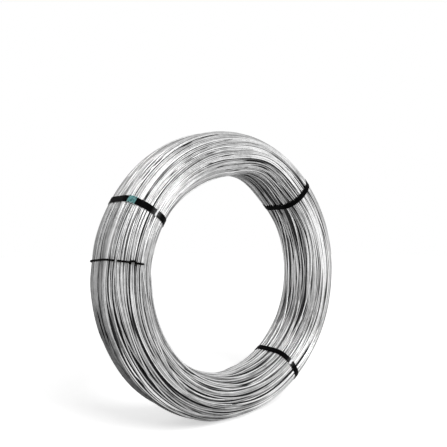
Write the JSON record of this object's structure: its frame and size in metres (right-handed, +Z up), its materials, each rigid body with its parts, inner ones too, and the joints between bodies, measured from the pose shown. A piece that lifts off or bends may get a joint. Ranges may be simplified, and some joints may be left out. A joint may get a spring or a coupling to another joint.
{
  "type": "coil of galvanized wire",
  "caption": "Ring-shaped coil of thin galvanized steel wire standing on its rim, tied by black steel straps with crimped seals; stored and hung by its eye and paid off as stock.",
  "frame": {"origin": "on the floor under the middle of the coil, which stands on its rim", "axes": "+Z up, +Y along the coil's axis from the near end, which the picture shows, to the far end; +X to the right seen from the near end"},
  "size_m": [0.8001, 0.1669, 0.8],
  "materials": {
    "zinc_wire": "satin",
    "black_strap": "satin",
    "teal_seal": "satin",
    "black_wire": "satin"
  },
  "bodies": {
    "root": {"wire_coil": "zinc_wire", "strap_upper_left": "black_strap", "strap_upper_right": "black_strap", "strap_lower_right": "black_strap", "seal_upper_left": "teal_seal", "seal_upper_right": "teal_seal", "seal_lower_right": "teal_seal", "tie_wire": "black_wire"}
  },
  "joints": []
}
